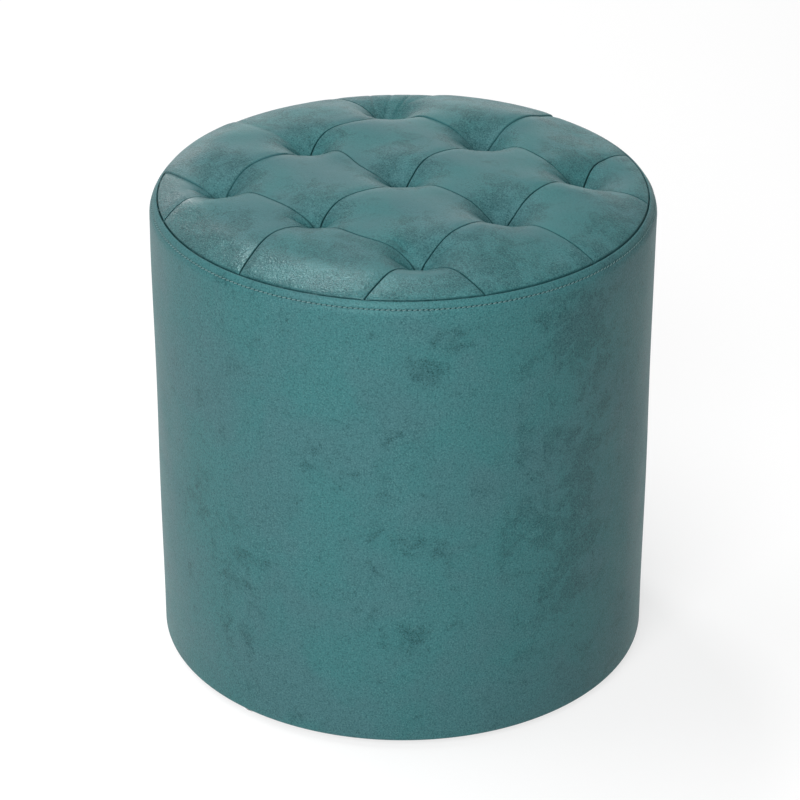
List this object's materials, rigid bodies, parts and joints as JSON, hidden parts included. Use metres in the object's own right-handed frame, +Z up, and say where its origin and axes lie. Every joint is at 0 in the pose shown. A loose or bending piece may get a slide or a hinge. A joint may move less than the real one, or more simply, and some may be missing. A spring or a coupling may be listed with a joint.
{
  "type": "pouf",
  "caption": "Round upright pouf with a blind-tufted padded top sewn from patches over a leather-covered drum, standing on low clear glides.",
  "frame": {"origin": "centre of the round footprint, on the floor under the glides", "axes": "+Z up along the drum's axis; X and Y along the rows of tufts; the side band's upright seam is on +Y"},
  "size_m": [0.4, 0.4, 0.4098],
  "materials": {
    "leather_side": "satin",
    "leather_top": "satin",
    "pad_foam": "matte",
    "side_foam": "matte",
    "plywood": "matte",
    "hardboard": "matte",
    "softwood": "matte",
    "zinc_steel": "satin",
    "twine": "matte",
    "washer_plastic": "matte",
    "non_woven": "matte",
    "clear_plastic": "gloss"
  },
  "bodies": {
    "root": {"seat_board": "plywood", "base_board": "plywood", "post_right": "softwood", "post_back": "softwood", "post_left": "softwood", "post_front": "softwood", "seat_screw_right": "zinc_steel", "seat_screw_back": "zinc_steel", "seat_screw_left": "zinc_steel", "seat_screw_front": "zinc_steel", "base_screw_right": "zinc_steel", "base_screw_back": "zinc_steel", "base_screw_left": "zinc_steel", "base_screw_front": "zinc_steel", "drum_wall": "hardboard", "foam_pad": "pad_foam", "side_foam": "side_foam", "side_band": "leather_side", "top_patch_1_1": "leather_top", "top_patch_1_2": "leather_top", "top_patch_1_3": "leather_top", "top_patch_1_4": "leather_top", "top_patch_2_1": "leather_top", "top_patch_2_2": "leather_top", "top_patch_2_3": "leather_top", "top_patch_2_4": "leather_top", "top_patch_3_1": "leather_top", "top_patch_3_2": "leather_top", "top_patch_3_3": "leather_top", "top_patch_3_4": "leather_top", "top_patch_4_1": "leather_top", "top_patch_4_2": "leather_top", "top_patch_4_3": "leather_top", "top_patch_4_4": "leather_top", "tuft_cord_1_1": "twine", "tuft_cord_1_2": "twine", "tuft_cord_1_3": "twine", "tuft_cord_2_1": "twine", "tuft_cord_2_2": "twine", "tuft_cord_2_3": "twine", "tuft_cord_3_1": "twine", "tuft_cord_3_2": "twine", "tuft_cord_3_3": "twine", "tuft_washer_1_1": "washer_plastic", "tuft_washer_1_2": "washer_plastic", "tuft_washer_1_3": "washer_plastic", "tuft_washer_2_1": "washer_plastic", "tuft_washer_2_2": "washer_plastic", "tuft_washer_2_3": "washer_plastic", "tuft_washer_3_1": "washer_plastic", "tuft_washer_3_2": "washer_plastic", "tuft_washer_3_3": "washer_plastic", "dust_cover": "non_woven", "glide_right": "clear_plastic", "glide_back": "clear_plastic", "glide_left": "clear_plastic", "glide_front": "clear_plastic"}
  },
  "joints": []
}
